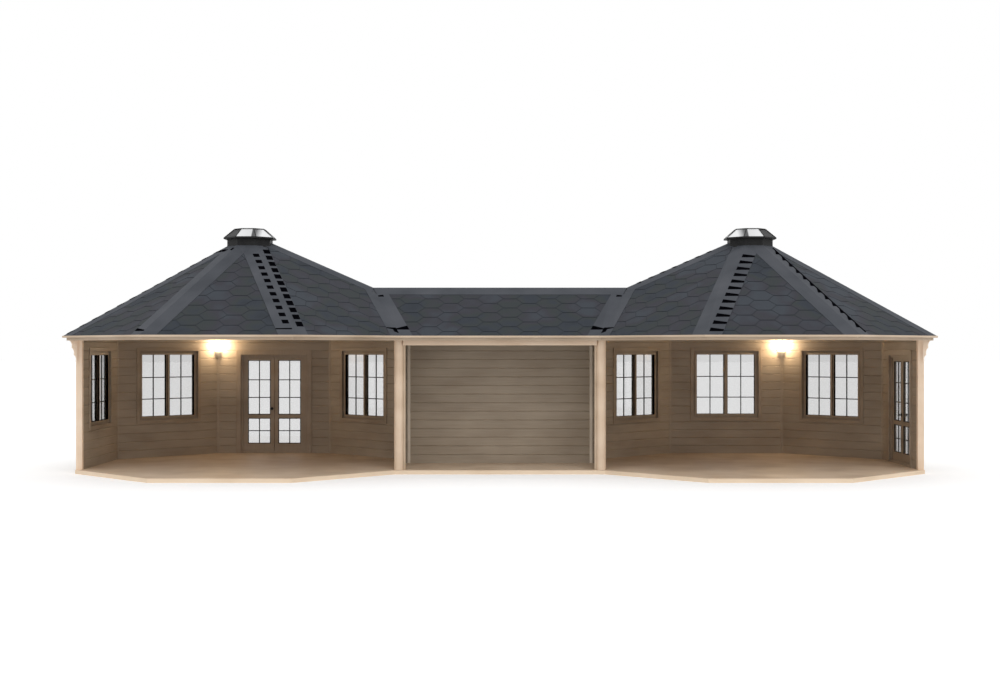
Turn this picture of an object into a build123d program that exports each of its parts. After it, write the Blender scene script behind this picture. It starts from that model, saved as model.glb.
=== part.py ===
from build123d import *
import math
import os

# A wide log cabin: two octagonal pavilions, open to the front, joined by a recessed link.
# Millimetres, +Z up, front towards -Y, origin on the ground under the middle of the link.

# Plan
octagon_side = 2240.0  # floor edge on each of a pavilion's eight sides
link_width = 3268.0  # clear distance between the two pavilion floors
link_step = 100.0  # link floor past the pavilions' corners, front and rear
recess_depth = 1470.0  # link front edge to the face of the link's cross wall

# Floor
floor_thickness = 65.0

# Log walls
wall_inset = 14.0  # floor edge to the outer face of the logs
wall_thickness = 92.0
log_height = 152.0
log_groove_depth = 10.0
log_groove_height = 20.0

# Roof
roof_pitch = 0.62  # rise over run, the same on every slope
roof_thickness = 30.0  # deck, measured square to the slope
eave_height = 2303.0  # top of the deck at the outer face of the fascia
eave_overhang = 124.0  # floor edge to the outer face of the fascia
link_overhang = 97.0
fascia_height = 93.0
fascia_thickness = 22.0
eave_beam_height = 137.0
drip_overhang = 56.0  # outer face of the fascia to the edge of the roof covering
eave_strip_width = 200.0
eave_strip_thickness = 5.0
hip_strip_width = 470.0
ridge_strip_width = 400.0
valley_strip_width = 380.0
strip_thickness = 16.0  # hip, ridge and valley strips

# Posts, strips and beams
end_post_depth = 80.0
link_post_width = 115.0
link_post_depth = 120.0
link_post_round = 38.0
link_post_reach = 47.0  # post's inner face past the face of the pavilion wall, towards the link
link_post_setback = 4.0  # link floor edge to the front of the post
jamb_width = 58.0
jamb_depth = 60.0
jamb_setback = 16.0  # front of the post to the front of the jamb
head_beam_drop = 200.0  # underside of the head beam below the roof at its front face

# Corner brackets
bracket_reach = 100.0
bracket_height = 350.0  # below the fascia's lower edge
bracket_thickness = 80.0
bracket_scallops = 3

# Skylight caps
skylight_opening = 308.0  # apothem of the hole in the roof
curb_apothem = 368.0
curb_thickness = 40.0
curb_height = 112.0  # above the roof at the curb's outer face
flange_apothem = 428.0
flange_height = 36.0
skylight_rise = 172.0
skylight_top_apothem = 238.0
skylight_bar = 40.0
skylight_rail = 20.0  # height of the glazing frame's top and bottom rails
skylight_glass_thickness = 8.0

# Windows
window_width = 1290.0  # hole in the wall
window_height = 1320.0
window_drop = 248.0  # eave height to the top of the hole
window_frame_width = 90.0
window_mullion_width = 74.0
window_frame_depth = 58.0
window_frame_proud = 6.0  # frame past the outer face of the logs
inner_window_shift = 79.0  # windows next to the link, off the middle of their wall towards the back
glass_thickness = 8.0

# Doors
door_width = 1300.0  # hole in the wall
door_drop = 330.0  # eave height to the top of the hole
door_frame_width = 42.0
door_frame_depth = 70.0
door_sill_height = 30.0
door_stop_width = 15.0
door_stop_depth = 20.0
door_gap = 5.0  # running clearance round each leaf
meeting_gap = 8.0  # between the two leaves of a pair
leaf_thickness = 44.0
leaf_hinge_stile = 105.0
leaf_meeting_stile = 80.0
leaf_top_rail = 79.0
leaf_bottom_rail = 164.0
leaf_mid_rail = 87.0
leaf_mid_rail_height = 776.0  # middle of the rail above the ground
knob_height = 925.0
knob_radius = 25.0
knob_length = 34.0
knob_neck_radius = 9.0
knob_neck_length = 20.0
knob_swell_share = 0.55  # where along the knob it is widest
knob_end_share = 0.6  # flat end, as a share of the knob's radius
knob_side_count = 16  # flats round a turned knob
rose_radius = 26.0
rose_thickness = 6.0
hinge_radius = 7.0
hinge_side_count = 12  # flats round the fixed half of a hinge
hinge_offset = 8.0  # hinge axis outside the face of the leaf
hinge_half_length = 52.0
hinge_flap_width = 38.0
hinge_flap_thickness = 3.0
hinge_clearance = 0.3
hinge_share = 0.14  # outer hinges from each end, as a share of the leaf's height

# Wall lamps in two of the rear corners
lamp_radius = 62.0
lamp_inset = 48.0  # lamp's axis from the inner corner
lamp_drop = 283.0  # eave height to the bottom of the lamp
lamp_height = 130.0

# Fits
seam = 0.5  # between like pieces that share a node
overrun = 20.0  # cuts run past the face by this

# Worked-out sizes
sides = 8
turn = 360 / sides
quarter_turn = 2 * turn
half_turn = turn / 2
half_tangent = math.tan(math.radians(half_turn))
root_two = math.sqrt(2)
floor_apothem = octagon_side / (2 * half_tangent)
pavilion_x = link_width / 2 + floor_apothem
wall_outer = floor_apothem - wall_inset
wall_inner = wall_outer - wall_thickness
eave_apothem = floor_apothem + eave_overhang
deck_apothem = eave_apothem - fascia_thickness
link_depth = octagon_side + 2 * link_step
link_eave = link_depth / 2 + link_overhang
ridge_turn_x = root_two * (eave_apothem - link_eave)  # sloping ridge meets the link ridge here
deck_drop = roof_thickness * math.hypot(1, roof_pitch)  # deck measured upright
reach = eave_apothem + octagon_side  # past every edge of a pavilion
curb_top = eave_height + roof_pitch * (eave_apothem - curb_apothem) + curb_height
sky = curb_top + eave_height  # above everything
fascia_bottom = eave_height - fascia_height
window_top = eave_height - window_drop
window_bottom = window_top - window_height
door_top = eave_height - door_drop
lamp_bottom = eave_height - lamp_drop
left_centre = Pos(-pavilion_x, 0, 0)

# The left pavilion's facets by the direction each one faces, round from the link
facets = [turn * step for step in range(sides)]
link_facet, back_inner_facet, back_facet, back_outer_facet, side_facet = facets[:5]
front_outer_facet, front_facet, front_inner_facet = facets[5:]
plain_facets = (back_facet, back_outer_facet, side_facet, front_outer_facet, front_facet)
link_side_facets = (back_inner_facet, front_inner_facet)
open_facets = (front_outer_facet, front_facet, front_inner_facet)
hip_angles = [facet + half_turn for facet in facets[1:-1]]
bracket_angles = [facet + half_turn for facet in facets[1:5]]


def save(node, *solids):
    """Write one named node from its solids."""
    found = [solid for shape in solids for solid in shape.solids()]
    made = found[0] if len(found) == 1 else Compound(children=found)
    export_step(made, os.path.join("parts", node + ".step"))


def mirrored(shape):
    """The same piece on the right pavilion."""
    return mirror(shape, Plane.YZ)


def ray(angle, length):
    """Plan point at an angle and distance from a pavilion's centre."""
    return (length * math.cos(math.radians(angle)), length * math.sin(math.radians(angle)))


def prism(points, low, high):
    """Upright prism over a plan outline."""
    outline = make_face(Polyline(*points, close=True))
    return extrude(Pos(0, 0, low) * outline, high - low, dir=(0, 0, 1))


def region(points, margin=seam / 2):
    """Tall prism over a plan outline drawn in by a margin, to clip what lies over it."""
    outline = offset(make_face(Polyline(*points, close=True)), -margin, kind=Kind.INTERSECTION)
    return extrude(Pos(0, 0, -overrun) * outline, sky + overrun, dir=(0, 0, 1))


def frustum(low_apothem, high_apothem, low, high, side_count=sides):
    """Upright prism with a regular outline, one flat square to +X, drawn in from its wider end."""
    wide, narrow = max(low_apothem, high_apothem), min(low_apothem, high_apothem)
    outline = RegularPolygon(wide, side_count, major_radius=False, rotation=360 / side_count / 2)
    lean = math.degrees(math.atan((wide - narrow) / (high - low)))
    shape = extrude(outline, high - low, taper=lean)
    return Pos(0, 0, low) * shape if wide == low_apothem else Pos(0, 0, high) * mirror(shape, Plane.XY)


def octagon(apothem, low, high):
    """Upright octagonal prism with flat sides to the front, back, left and right."""
    return frustum(apothem, apothem, low, high)


def block(x_range, y_range, z_range):
    """Box between three pairs of limits."""
    low, high = zip(x_range, y_range, z_range)
    size = [end - start for start, end in zip(low, high)]
    return Pos(*low) * Box(*size, align=(Align.MIN, Align.MIN, Align.MIN))


def wedge_points(angle):
    """Plan outline of one octagon facet, from the centre outwards."""
    return [(0, 0), ray(angle - half_turn, reach), ray(angle + half_turn, reach)]


def link_side_points(side):
    """Plan outline of a link-side roof slope, which runs on to the sloping ridge and the valley."""
    run = reach * math.cos(math.radians(half_turn))
    across = run * half_tangent
    return [(0, 0), (across, side * run), (ridge_turn_x + across, side * run), (ridge_turn_x, 0)]


def link_points(side):
    """Plan outline of a link roof slope between its two valleys."""
    foot = link_eave + octagon_side / 2
    ridge_end = pavilion_x - ridge_turn_x
    eave_end = ridge_end - foot * half_tangent
    return [(-ridge_end, 0), (-eave_end, side * foot), (eave_end, side * foot), (ridge_end, 0)]


def bar(profile, length=reach):
    """A profile of distance-and-height points, run both ways along a facet that faces +X."""
    outline = make_face(Plane.XZ * Polyline(*profile, close=True))
    return extrude(outline, length, both=True)


def deck_top(distance, eave=eave_apothem):
    """Height of the deck's top at a distance from the pavilion's centre or the link's axis."""
    return eave_height + roof_pitch * (eave - distance)


def deck_under(distance, eave=eave_apothem):
    """Height of the deck's underside."""
    return deck_top(distance, eave) - deck_drop


def slope_profile(near, far, low, high, eave):
    """Profile of a layer that lies on or under a roof slope."""
    return [
        (near, deck_top(near, eave) + low),
        (far, deck_top(far, eave) + low),
        (far, deck_top(far, eave) + high),
        (near, deck_top(near, eave) + high),
    ]


def slope_layers(low, high, far_inset, margin, width=None):
    """A roof layer as plan-clipped slopes: (left pavilion slopes by facet, link slopes by side)."""
    far = eave_apothem - far_inset
    link_far = link_eave - far_inset
    near, link_near = (-overrun, -overrun) if width is None else (far - width, link_far - width)
    layer = bar(slope_profile(near, far, low, high, eave_apothem))
    slopes = {}
    for angle in plain_facets:
        slopes[angle] = (Rot(0, 0, angle) * layer) & region(wedge_points(angle), margin)
    for angle, side in zip(link_side_facets, (1, -1)):
        slopes[angle] = (Rot(0, 0, angle) * layer) & region(link_side_points(side), margin)
    link_layer = bar(slope_profile(link_near, link_far, low, high, link_eave), link_width)
    links = {}
    for side in (1, -1):
        links[side] = (Rot(0, 0, side * quarter_turn) * link_layer) & region(link_points(side), margin)
    return slopes, links


def log_stack(top_profile, inner=wall_inner, outer=wall_outer):
    """Profile of stacked logs with a V groove at each joint, inside an upright outline."""
    half_groove = log_groove_height / 2
    courses = math.ceil((sky - floor_thickness) / log_height)
    outer_face = [(outer, floor_thickness)]
    inner_face = [(inner, floor_thickness)]
    for course in range(1, courses):
        joint = floor_thickness + course * log_height
        for height, depth in ((-half_groove, 0), (0, log_groove_depth), (half_groove, 0)):
            outer_face.append((outer - depth, joint + height))
            inner_face.append((inner + depth, joint + height))
    stack = make_face(Polyline(*outer_face, *reversed(inner_face), close=True))
    return stack & make_face(Polyline(*top_profile, close=True))


def wall_run(stack, length=reach):
    """A log profile run both ways along a facet that faces +X."""
    return extrude(Plane.XZ * stack, length, both=True)


def eaves_wall():
    """Log wall under a roof slope, as a run with no ends yet."""
    corners = [(wall_inner, floor_thickness), (wall_outer, floor_thickness)]
    corners += [(wall_outer, deck_under(wall_outer)), (wall_inner, deck_under(wall_inner))]
    return wall_run(log_stack(corners))


def gable_wall(front_end):
    """Log wall between a pavilion and the link, carried up under the link's two slopes."""
    corners = [(wall_inner, floor_thickness), (wall_outer, floor_thickness), (wall_outer, sky), (wall_inner, sky)]
    half = link_eave
    gable = [(-half, 0), (half, 0), (half, deck_under(half, link_eave))]
    gable += [(0, deck_under(0, link_eave)), (-half, deck_under(half, link_eave))]
    under_roof = extrude(Plane.YZ * make_face(Polyline(*gable, close=True)), reach)
    behind_post = block((0, reach), (front_end, reach), (0, sky))
    return wall_run(log_stack(corners)) & under_roof & prism(wedge_points(link_facet), 0, sky) & behind_post


def opening(width, low, high):
    """Hole through a wall that faces +X."""
    return block((wall_inner - overrun, wall_outer + overrun), (-width / 2, width / 2), (low, high))


def window_place(angle):
    """Where a window stands along its wall, from the wall's middle."""
    return Pos(0, inner_window_shift if angle == back_inner_facet else 0, 0)


def window_hole(angle):
    return window_place(angle) * opening(window_width, window_bottom, window_top)


def door_hole():
    return opening(door_width, floor_thickness - overrun, door_top)


def window_frame():
    """Fixed frame with a middle mullion, and its two sheets of glass."""
    outside = wall_outer + window_frame_proud
    depth = (outside - window_frame_depth, outside)
    frame = block(depth, (-window_width / 2, window_width / 2), (window_bottom, window_top))
    glass_low = window_bottom + window_frame_width
    glass_high = window_top - window_frame_width
    glass_end = window_width / 2 - window_frame_width
    glass_start = window_mullion_width / 2
    middle = sum(depth) / 2
    sheet_depth = (middle - glass_thickness / 2, middle + glass_thickness / 2)
    sheets = []
    for side in (1, -1):
        span = sorted((side * glass_start, side * glass_end))
        frame -= block((depth[0] - overrun, depth[1] + overrun), span, (glass_low, glass_high))
        sheets.append(block(sheet_depth, span, (glass_low, glass_high)))
    return frame, sheets


def hinge_heights():
    """Middle heights of a leaf's three hinges."""
    low = floor_thickness + door_sill_height + door_gap
    high = door_top - door_frame_width - door_gap
    inset = hinge_share * (high - low)
    return low + inset, (low + high) / 2, high - inset


def hinge_axis_y():
    """Distance of a hinge axis from the middle of the doorway."""
    return door_width / 2 - door_frame_width - door_gap / 2


def hinge_half(height, on_leaf):
    """Half of a lift-off hinge with its flap: the leaf's half sits on top of the frame's."""
    axis_y = hinge_axis_y()
    if on_leaf:
        span = (height, height + hinge_half_length)
        outline = Circle(hinge_radius)
        flap_end = axis_y - hinge_flap_width
    else:
        span = (height - hinge_half_length, height - hinge_clearance)
        outline = RegularPolygon(hinge_radius, hinge_side_count)
        flap_end = axis_y + hinge_flap_width
    barrel = Pos(wall_outer + hinge_offset, axis_y, span[0]) * extrude(outline, span[1] - span[0])
    flap_depth = (wall_outer, wall_outer + hinge_flap_thickness)
    return barrel + block(flap_depth, sorted((axis_y, flap_end)), span)


def door_frame():
    """Door frame with sill, stops and the fixed halves of its hinges."""
    depth = (wall_outer - door_frame_depth, wall_outer)
    half = door_width / 2
    clear = half - door_frame_width
    clear_low = floor_thickness + door_sill_height
    clear_high = door_top - door_frame_width
    frame = block(depth, (-half, half), (floor_thickness, door_top))
    stop_face = depth[0] + door_stop_depth
    leaf_way = (stop_face, depth[1] + overrun)
    frame -= block(leaf_way, (-clear, clear), (clear_low, clear_high))
    inner_way = (depth[0] - overrun, stop_face)
    stop_clear = clear - door_stop_width
    frame -= block(inner_way, (-stop_clear, stop_clear), (clear_low, clear_high - door_stop_width))
    for height in hinge_heights():
        fixed_half = hinge_half(height, on_leaf=False)
        frame += fixed_half
        frame += mirror(fixed_half, Plane.XZ)
    return frame


def door_leaf():
    """The leaf on the +Y side of a doorway that faces +X, with its two sheets of glass."""
    outer_edge = door_width / 2 - door_frame_width - door_gap
    inner_edge = meeting_gap / 2
    low = floor_thickness + door_sill_height + door_gap
    high = door_top - door_frame_width - door_gap
    depth = (wall_outer - leaf_thickness, wall_outer)
    leaf = block(depth, (inner_edge, outer_edge), (low, high))
    span = (inner_edge + leaf_meeting_stile, outer_edge - leaf_hinge_stile)
    rail_low = leaf_mid_rail_height - leaf_mid_rail / 2
    rail_high = leaf_mid_rail_height + leaf_mid_rail / 2
    middle = sum(depth) / 2
    sheet_depth = (middle - glass_thickness / 2, middle + glass_thickness / 2)
    sheets = []
    for pane in ((low + leaf_bottom_rail, rail_low), (rail_high, high - leaf_top_rail)):
        leaf -= block((depth[0] - overrun, depth[1] + overrun), span, pane)
        sheets.append(block(sheet_depth, span, pane))
    for height in hinge_heights():
        leaf += hinge_half(height, on_leaf=True)
    return leaf, sheets


def door_knobs():
    """A knob on each face of the leaf, turned about an axis through the meeting stile."""
    neck_end = rose_thickness + knob_neck_length
    widest = neck_end + knob_swell_share * knob_length
    end = neck_end + knob_length
    knob = frustum(rose_radius, rose_radius, 0, rose_thickness, knob_side_count)
    knob += frustum(knob_neck_radius, knob_neck_radius, rose_thickness, neck_end, knob_side_count)
    knob += frustum(knob_neck_radius, knob_radius, neck_end, widest, knob_side_count)
    knob += frustum(knob_radius, knob_end_share * knob_radius, widest, end, knob_side_count)
    across = (meeting_gap + leaf_meeting_stile) / 2
    outside = Pos(wall_outer, across, knob_height) * Rot(0, quarter_turn, 0) * knob
    inside = Pos(wall_outer - leaf_thickness, across, knob_height) * Rot(0, -quarter_turn, 0) * knob
    return outside, inside


def bracket():
    """Scalloped corner bracket in the plane of a corner that faces +X."""
    corner = wall_outer / math.cos(math.radians(half_turn))
    bottom = fascia_bottom - bracket_height
    tip = corner + bracket_reach
    side_lean = math.sin(math.radians(half_turn)) * bracket_thickness / 2
    top = deck_under(tip * math.cos(math.radians(half_turn)) + side_lean)
    lines = [Line((corner - overrun, bottom), (corner, bottom))]
    steps = bracket_scallops
    for step in range(steps):
        start = (corner + bracket_reach * step / steps, bottom + bracket_height * step / steps)
        end = (corner + bracket_reach * (step + 1) / steps, bottom + bracket_height * (step + 1) / steps)
        lines.append(RadiusArc(start, end, bracket_height / steps))
    lines.append(Polyline((tip, fascia_bottom), (tip, top), (corner - overrun, top), (corner - overrun, bottom)))
    return extrude(Plane.XZ * make_face(lines), bracket_thickness / 2, both=True)


def skylight(roof_body):
    """Curb on the roof, glazing frame on the curb, and the glass in the frame."""
    curb_inner = curb_apothem - curb_thickness
    curb = octagon(curb_apothem, eave_height, curb_top) - octagon(curb_inner, 0, sky)
    curb -= roof_body
    flange_top = curb_top + flange_height
    top = flange_top + skylight_rise
    frame = octagon(flange_apothem, curb_top, flange_top) - octagon(curb_inner, 0, sky)
    inner_top = skylight_top_apothem - skylight_bar
    shell = frustum(curb_apothem, skylight_top_apothem, flange_top, top)
    shell -= frustum(curb_inner, inner_top, flange_top, top)
    bars = shell - octagon(reach, flange_top + skylight_rail, top - skylight_rail)
    half_bar = skylight_bar / 2
    for facet in facets:
        rib = Rot(0, 0, facet + half_turn) * block((0, reach), (-half_bar, half_bar), (flange_top, top))
        bars += shell & rib
    frame += bars
    glass = shell - frame
    lid = octagon(inner_top, top - skylight_glass_thickness, top)
    return curb, frame, glass, lid


os.makedirs("parts", exist_ok=True)

# Floors: two octagons, and a link floor that fills up to them
left_floor = left_centre * octagon(floor_apothem, 0, floor_thickness)
right_floor = mirrored(left_floor)
link_end = pavilion_x - (root_two * floor_apothem - link_depth / 2)
link_floor = block((-link_end, link_end), (-link_depth / 2, link_depth / 2), (0, floor_thickness))
link_floor -= left_floor + right_floor
save("left_floor", left_floor)
save("right_floor", right_floor)
save("link_floor", link_floor)

# Walls of the left pavilion, which the right one mirrors apart from its openings
post_front = -link_depth / 2 + link_post_setback
post_back = post_front + link_post_depth
side_wall_end = wall_inner * half_tangent - end_post_depth
eaves_run = eaves_wall()
corner_clip = {angle: prism(wedge_points(angle), 0, sky) for angle in plain_facets + link_side_facets}


def facet_wall(angle, hole=None):
    """Log wall on one facet of the left pavilion, mitred at both corners."""
    run = eaves_run if hole is None else eaves_run - hole
    return left_centre * ((Rot(0, 0, angle) * run) & corner_clip[angle])


def side_wall(hole):
    """Outer side wall, which ends at its post in front and is mitred behind."""
    front = prism([(-reach, -side_wall_end), (0, -side_wall_end), (0, reach), (-reach, reach)], 0, sky)
    run = (Rot(0, 0, side_facet) * (eaves_run - hole)) & corner_clip[side_facet] & front
    return left_centre * run


def split_at_door(wall, angle):
    """The lengths of wall beside a doorway, and the length over it."""
    over = left_centre * Rot(0, 0, angle) * opening(door_width, door_top, sky)
    return wall - over, wall & over


link_wall = left_centre * gable_wall(post_back)
save("left_side_wall", side_wall(window_hole(side_facet)))
save("left_back_outer_wall", facet_wall(back_outer_facet, window_hole(back_outer_facet)))
beside, over = split_at_door(facet_wall(back_facet, door_hole()), back_facet)
save("left_back_wall_beside_door", beside)
save("left_back_wall_over_door", over)
save("left_back_inner_wall", facet_wall(back_inner_facet, window_hole(back_inner_facet)))
save("left_link_wall", link_wall)

beside, over = split_at_door(side_wall(door_hole()), side_facet)
save("right_side_wall_beside_door", mirrored(beside))
save("right_side_wall_over_door", mirrored(over))
save("right_back_outer_wall", mirrored(facet_wall(back_outer_facet, window_hole(back_outer_facet))))
save("right_back_wall", mirrored(facet_wall(back_facet, window_hole(back_facet))))
save("right_back_inner_wall", mirrored(facet_wall(back_inner_facet, window_hole(back_inner_facet))))
save("right_link_wall", mirrored(link_wall))

# Cross wall of the link, between the two gable walls
cross_face = -link_depth / 2 + recess_depth
cross_back = cross_face + wall_thickness
cross_corners = [(cross_face, floor_thickness), (cross_back, floor_thickness)]
cross_corners += [(cross_back, deck_under(cross_back, link_eave)), (cross_face, deck_under(cross_face, link_eave))]
cross_stack = log_stack(cross_corners, cross_face, cross_back)
save("link_back_wall", Rot(0, 0, quarter_turn) * wall_run(cross_stack, pavilion_x - wall_outer))

# Posts: the ends of the outer side walls, and the two round-fronted posts of the link
end_profile = [(wall_inner, floor_thickness), (wall_outer, floor_thickness)]
end_profile += [(wall_outer, deck_under(wall_outer)), (wall_inner, deck_under(wall_inner))]
front_strip = prism([(-reach, -reach), (0, -reach), (0, -side_wall_end), (-reach, -side_wall_end)], 0, sky)
end_post = left_centre * ((Rot(0, 0, side_facet) * bar(end_profile)) & corner_clip[side_facet] & front_strip)
save("end_posts", end_post, mirrored(end_post))

post_inner = pavilion_x - wall_outer - link_post_reach
post_outer = post_inner + link_post_width
post_top = deck_under(-post_front, link_eave)
link_post = block((-post_outer, -post_inner), (post_front, post_back), (floor_thickness, post_top))
front_edges = link_post.edges().filter_by(Axis.Z).sort_by(Axis.Y)[:2]
link_post = fillet(front_edges, link_post_round)
save("link_posts", link_post, mirrored(link_post))

# Jambs inside the link posts, strips outside them, and the beams that carry the link's eaves
head_low = deck_under(-post_front, link_eave) - head_beam_drop
jamb_front = post_front + jamb_setback
jamb_span = (jamb_front, jamb_front + jamb_depth)
jamb = block((-post_inner, -post_inner + jamb_width), jamb_span, (floor_thickness, head_low))
beam_low = deck_under(wall_outer) - eave_beam_height
strip = block((-post_outer - jamb_width, -post_outer), jamb_span, (floor_thickness, beam_low))
save("link_jambs", jamb, mirrored(jamb), strip, mirrored(strip))


def link_beam(near, far, length):
    """Beam along the link under one of its slopes, by its distances from the link's axis."""
    corners = [(near, head_low), (far, head_low)]
    corners += [(far, deck_under(far, link_eave)), (near, deck_under(near, link_eave))]
    return bar(corners, length)


head_beam = Rot(0, 0, -quarter_turn) * link_beam(-post_back, -post_front, post_inner)
rear_far = wall_outer * half_tangent
rear_beam = Rot(0, 0, quarter_turn) * link_beam(rear_far - link_post_depth, rear_far, pavilion_x - wall_outer)
save("link_head_beams", head_beam, rear_beam)

# Eave beams over the open fronts
beam_profile = [(wall_inner, beam_low), (wall_outer, beam_low)]
beam_profile += [(wall_outer, deck_under(wall_outer)), (wall_inner, deck_under(wall_inner))]
beam_run = bar(beam_profile)
eave_beams = []
for angle in open_facets:
    beam = left_centre * ((Rot(0, 0, angle) * beam_run) & region(wedge_points(angle)))
    eave_beams.append(beam - link_post)
save("eave_beams", *eave_beams, *[mirrored(beam) for beam in eave_beams])

# Roof decks with the holes for the skylights
hole = octagon(skylight_opening, 0, sky)
decks, link_decks = slope_layers(-deck_drop, 0, fascia_thickness, seam / 2)
left_decks = [left_centre * (deck - hole) for deck in decks.values()]
save("left_roof", *left_decks)
save("right_roof", *[mirrored(deck) for deck in left_decks])
save("link_roof", *link_decks.values())

# Fascia boards round the eaves
fascia_profile = [(deck_apothem, fascia_bottom), (eave_apothem, fascia_bottom)]
fascia_profile += [(eave_apothem, deck_top(eave_apothem)), (deck_apothem, deck_top(deck_apothem))]
fascia_run = bar(fascia_profile)
boards = []
for angle in plain_facets:
    boards.append(left_centre * ((Rot(0, 0, angle) * fascia_run) & region(wedge_points(angle))))
for angle, side in zip(link_side_facets, (1, -1)):
    boards.append(left_centre * ((Rot(0, 0, angle) * fascia_run) & region(link_side_points(side))))
link_shift = eave_apothem - link_eave
link_fascia = bar([(distance - link_shift, height) for distance, height in fascia_profile], link_width)
link_boards = [(Rot(0, 0, side * quarter_turn) * link_fascia) & region(link_points(side)) for side in (1, -1)]
save("fascia_boards", *boards, *[mirrored(board) for board in boards], *link_boards)

# Hip, ridge and valley strips, folded over the decks
layers, link_layers = slope_layers(0, strip_thickness, -drip_overhang, 0)
shell = layers[plain_facets[0]]
for angle in plain_facets[1:] + link_side_facets:
    shell += layers[angle]
link_shell = link_layers[1] + link_layers[-1]
curb_clear = octagon(curb_apothem, 0, sky)


def strip_run(width, start=0, end=reach):
    """Tall upright band along +X, to cut a strip from the layer over the decks."""
    return block((start, end), (-width / 2, width / 2), (0, sky))


hip_strips = []
for angle in hip_angles:
    run = (Rot(0, 0, angle) * strip_run(hip_strip_width)) & region(wedge_points(angle))
    hip_strips.append(left_centre * ((shell & run) - curb_clear))
save("hip_caps", *hip_strips, *[mirrored(strip) for strip in hip_strips])

sloping_ridge = left_centre * ((shell & strip_run(ridge_strip_width, end=ridge_turn_x - seam)) - curb_clear)
ridge_end = pavilion_x - ridge_turn_x
link_ridge = link_shell & strip_run(ridge_strip_width, -ridge_end, ridge_end)
save("ridge_caps", sloping_ridge, mirrored(sloping_ridge), link_ridge)

valley_shell = shell + Pos(pavilion_x, 0, 0) * link_shell
ridge_clear = strip_run(ridge_strip_width + 2 * seam, -reach, reach)
valley_places = [Pos(ridge_turn_x, 0, 0) * Rot(0, 0, side * (quarter_turn - half_turn)) for side in (1, -1)]
valley_strips = []
for place in valley_places:
    run = place * strip_run(valley_strip_width)
    valley_strips.append(left_centre * ((valley_shell & run) - ridge_clear))
save("valley_strips", *valley_strips, *[mirrored(strip) for strip in valley_strips])

# Eave strips between them, which carry the roof covering out past the fascias
edge_layers, link_edges = slope_layers(0, eave_strip_thickness, -drip_overhang, 0, eave_strip_width)
edge_clear = [Rot(0, 0, angle) * strip_run(hip_strip_width + 2 * seam) for angle in hip_angles]
valley_clear = [place * strip_run(valley_strip_width + 2 * seam) for place in valley_places]
edge_strips = []
for layer in edge_layers.values():
    for cut in edge_clear + valley_clear:
        layer -= cut
    edge_strips.append(left_centre * layer)
link_edge_strips = []
for layer in link_edges.values():
    for cut in valley_clear:
        placed_cut = left_centre * cut
        layer -= placed_cut
        layer -= mirrored(placed_cut)
    link_edge_strips.append(layer)
save("eave_strips", *edge_strips, *[mirrored(strip) for strip in edge_strips], *link_edge_strips)

# Skylight caps
solid_layers = slope_layers(-eave_height, 0, 0, 0)[0]
roof_body = solid_layers[plain_facets[0]]
for angle in plain_facets[1:] + link_side_facets:
    roof_body += solid_layers[angle]
curb, glazing_frame, side_glass, top_glass = [left_centre * piece for piece in skylight(roof_body)]
save("skylight_curbs", curb, mirrored(curb))
save("skylight_frames", glazing_frame, mirrored(glazing_frame))
save("skylight_glass", side_glass, top_glass, mirrored(side_glass), mirrored(top_glass))

# Corner brackets, cut to the faces of the walls behind them
wall_body = octagon(wall_outer, 0, sky)
brackets = [left_centre * ((Rot(0, 0, angle) * bracket()) - wall_body) for angle in bracket_angles]
save("corner_brackets", *brackets, *[mirrored(shape) for shape in brackets])

# Windows
frame_shape, sheet_shapes = window_frame()
left_windows = (side_facet, back_outer_facet, back_inner_facet)
right_windows = (back_outer_facet, back_facet, back_inner_facet)
frames = []
sheets = []
for angles, finish in ((left_windows, None), (right_windows, mirrored)):
    for angle in angles:
        stand = left_centre * Rot(0, 0, angle) * window_place(angle)
        placed = [stand * shape for shape in [frame_shape, *sheet_shapes]]
        placed = placed if finish is None else [finish(shape) for shape in placed]
        frames.append(placed[0])
        sheets.extend(placed[1:])
save("window_frames", *frames)
save("window_glass", *sheets)

# Double doors: one in the left pavilion's back wall, one in the right pavilion's side wall
frame_shape = door_frame()
leaf_shape, leaf_glass = door_leaf()
knob_shapes = door_knobs()
doors = (("left_door", left_centre * Rot(0, 0, back_facet), ("outer", "inner"), "outer"),)
doors += (("right_door", Pos(pavilion_x, 0, 0), ("rear", "front"), "rear"),)
for door, place, leaves, knob_leaf in doors:
    save(door + "_frame", place * frame_shape)
    for leaf, flipped in zip(leaves, (False, True)):
        pieces = {"leaf": [leaf_shape], "glass": leaf_glass}
        if leaf == knob_leaf:
            pieces["knobs"] = list(knob_shapes)
        for kind, shapes in pieces.items():
            turned = [mirror(shape, Plane.XZ) for shape in shapes] if flipped else shapes
            save("_".join((door, leaf, kind)), *[place * shape for shape in turned])

# Wall lamps in the rear corners nearest the cabin's ends
corner_distance = wall_inner / math.cos(math.radians(half_turn))
lamp_place = Pos(*ray(back_facet + half_turn, corner_distance - lamp_inset), lamp_bottom)
lamp = (lamp_place * extrude(Circle(lamp_radius), lamp_height)) & octagon(wall_inner, 0, sky)
lamp = left_centre * lamp
save("wall_lamps", lamp, mirrored(lamp))
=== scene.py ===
# %% [markdown]
# A wide log cabin: two octagonal pavilions, open to the front, and a recessed link between them.
# The solids come in as a fixed frame. This file dresses them: it gives each one a finish and adds
# what sits on them, such as shingles, window bars, casings and floor planks.

# %% Load the frame
import bpy
import math
from mathutils import Matrix, Vector


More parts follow.
